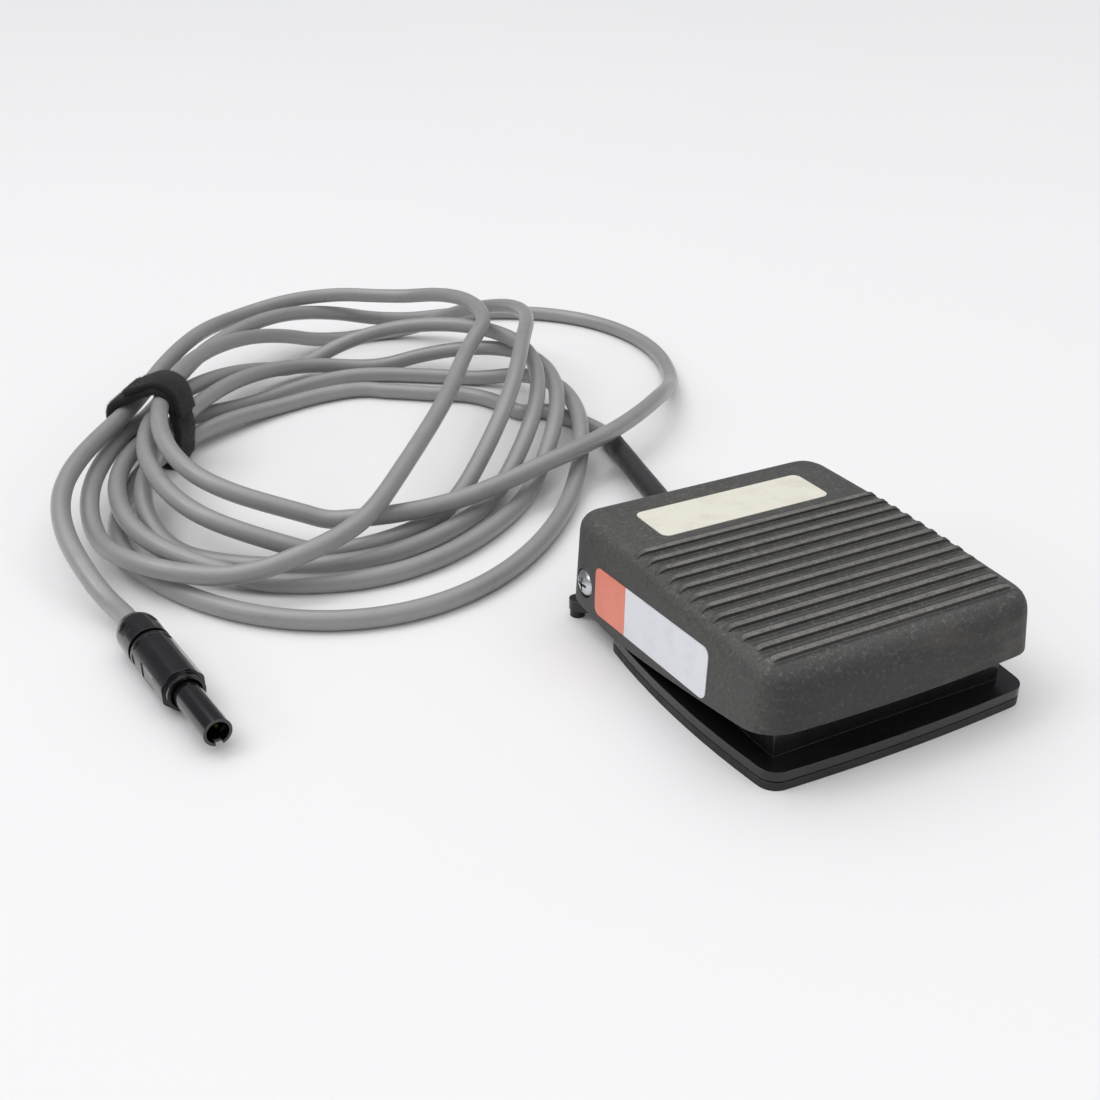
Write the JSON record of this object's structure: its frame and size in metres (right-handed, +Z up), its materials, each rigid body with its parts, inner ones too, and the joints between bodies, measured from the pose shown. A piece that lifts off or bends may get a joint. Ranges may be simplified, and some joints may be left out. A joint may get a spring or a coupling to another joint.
{
  "type": "foot switch",
  "caption": "Foot switch with a ribbed charcoal pedal on a low black housing, a long grey cord coiled in a tie and an inline plug",
  "frame": {"origin": "middle of the footprint of the pedal and its base, on the floor", "axes": "+Z up, the toe end points along -Y, the hinge and the cord are at +Y, X is the width"},
  "size_m": [0.2366, 0.322, 0.0306],
  "materials": {
    "charcoal_paint": "matte, with pale scuffs and dust",
    "nylon": "moulded",
    "zinc_steel": "zinc plated",
    "cream_film": "printed film, blank",
    "silver_film": "printed film, blank",
    "coral_film": "printed film, blank",
    "black_gloss": "gloss moulded",
    "black_rubber": "satin rubber",
    "plate_steel": "pressed steel",
    "spring_steel": "drawn wire",
    "switch_red": "moulded",
    "contact_gold": "plated contact",
    "crimp_red": "insulated crimp",
    "wire_film": "wire insulation",
    "black_nylon": "satin moulded",
    "grey_sheath": "satin sheath",
    "black_loop": "hook and loop tape",
    "plug_black": "satin moulded",
    "plug_gloss": "polished"
  },
  "bodies": {
    "base": {"hinge_screws": "zinc_steel", "base_housing": "black_gloss", "base_sole": "black_rubber", "rear_feet": "black_rubber", "chassis_plate": "plate_steel", "base_screws": "zinc_steel", "return_spring": "spring_steel", "spring_cup": "plate_steel", "switch_case": "switch_red", "switch_cover": "switch_red", "lever_pin": "zinc_steel", "switch_terminals": "contact_gold", "switch_bracket": "plate_steel", "switch_screws": "zinc_steel", "wire_crimps": "crimp_red", "lead_wires": "wire_film", "cord_saddle": "black_nylon", "saddle_screws": "zinc_steel", "cord_grommet": "black_rubber", "cord_sleeve": "black_nylon", "cord_lead": "grey_sheath", "cord_coil": "grey_sheath", "cord_tail": "grey_sheath", "cord_tie": "black_loop", "tie_tab": "black_loop", "plug_nut": "plug_black", "plug_collet": "plug_black", "plug_nose": "plug_gloss", "plug_insert": "plug_black", "plug_pins": "contact_gold"},
    "pedal_body": {"pedal": "charcoal_paint", "hinge_bushes": "nylon", "rating_label": "cream_film", "side_label": "silver_film", "side_band": "coral_film", "actuator_stud": "zinc_steel", "stud_nut": "zinc_steel"},
    "lever_body": {"switch_lever": "spring_steel"},
    "button_body": {"switch_button": "nylon"},
    "shell_body": {"plug_shell": "plug_black"}
  },
  "joints": [
    {"name": "pedal_hinge", "type": "hinge", "parent": "base", "child": "pedal_body", "pos_m": [0, 0.0335, 0.0134], "axis": [1, 0, 0], "range_deg": [0, 3], "stiffness_Nm_per_rad": 4, "springref_deg": -5.73, "deforming": ["return_spring"]},
    {"name": "lever_pivot", "type": "hinge", "parent": "base", "child": "lever_body", "pos_m": [0.015, 0.0035, 0.01741], "axis": [1, 0, 0], "range_deg": [0, 9], "stiffness_Nm_per_rad": 0.0001, "springref_deg": -9.74},
    {"name": "button_slide", "type": "slide", "parent": "base", "child": "button_body", "axis": [0, 0, -1], "range_m": [0, 0.001], "stiffness_N_per_m": 0.3, "springref_m": -0.00033},
    {"name": "plug_release", "type": "slide", "parent": "base", "child": "shell_body", "axis": [-0.1149, 0.9934, 0], "range_m": [0, 0.0012], "stiffness_N_per_m": 800, "springref_m": -0.0005}
  ],
  "couplings": [
    {"joint": "lever_pivot", "follows": "pedal_hinge", "ratio": 2.77},
    {"joint": "button_slide", "follows": "pedal_hinge", "m_per_rad": 0.0166}
  ]
}
